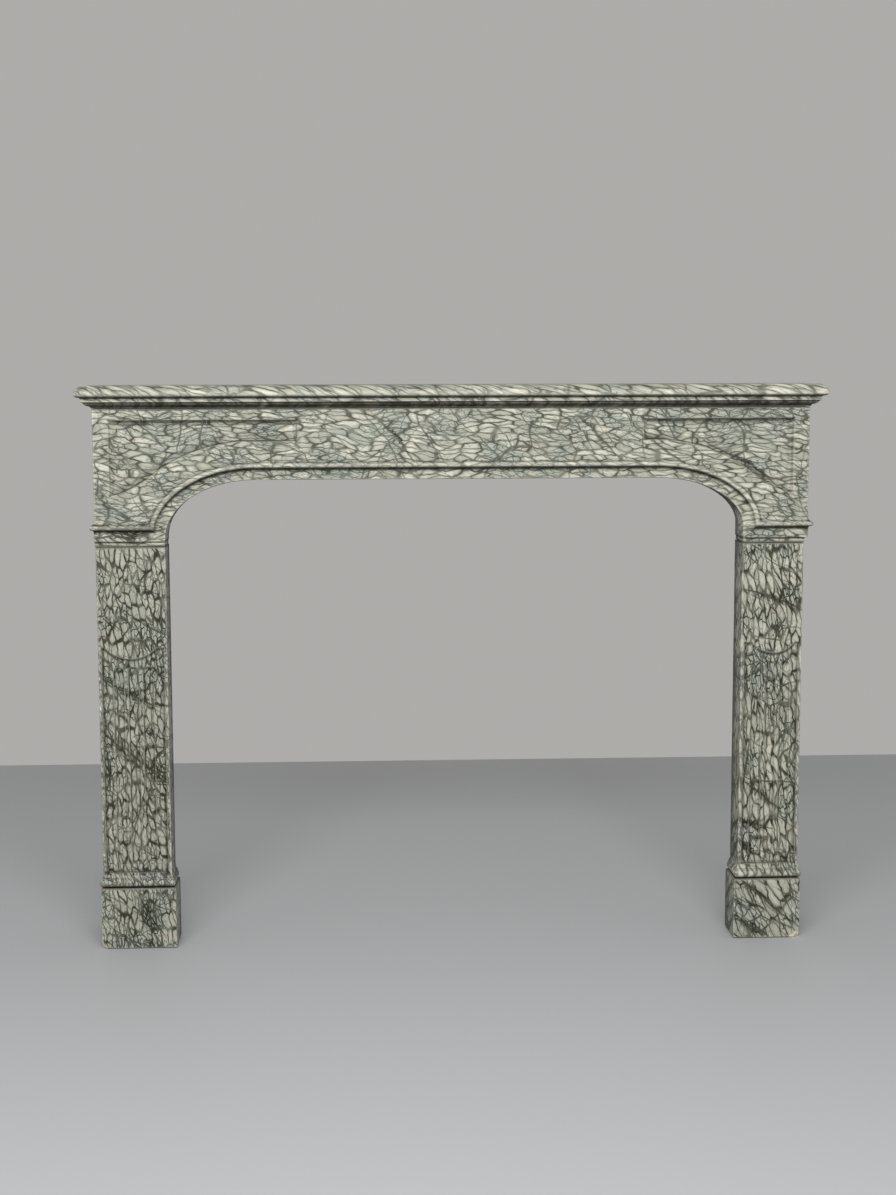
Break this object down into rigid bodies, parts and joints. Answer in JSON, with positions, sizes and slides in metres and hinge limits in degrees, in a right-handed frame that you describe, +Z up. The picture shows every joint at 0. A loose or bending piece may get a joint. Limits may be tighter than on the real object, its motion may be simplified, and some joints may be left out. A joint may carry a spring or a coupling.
{
  "type": "fireplace mantel",
  "caption": "Marble fireplace mantel: moulded shelf on a shouldered lintel with sunken spandrel panels, fluted pilaster jambs and plain plinths around a wide opening.",
  "frame": {"origin": "on the hearth, under the middle of the shelf", "axes": "+X to the right along the shelf, +Y to the wall behind, +Z up; the carved front faces -Y"},
  "size_m": [1.48, 0.201, 1.1303],
  "materials": {
    "shelf_marble": "polished brecciated marble, pale pebbles in dark green veins, streaked along the shelf",
    "lintel_marble": "polished brecciated marble, grey-green pebbles lying level in dark veins",
    "jamb_marble": "polished brecciated marble, upright pale pebbles in dark veins",
    "plinth_marble": "worn brecciated marble, upright pale pebbles in dark veins"
  },
  "bodies": {
    "root": {"shelf": "shelf_marble", "lintel": "lintel_marble", "left_jamb": "jamb_marble", "right_jamb": "jamb_marble", "left_plinth": "plinth_marble", "right_plinth": "plinth_marble"}
  },
  "joints": []
}
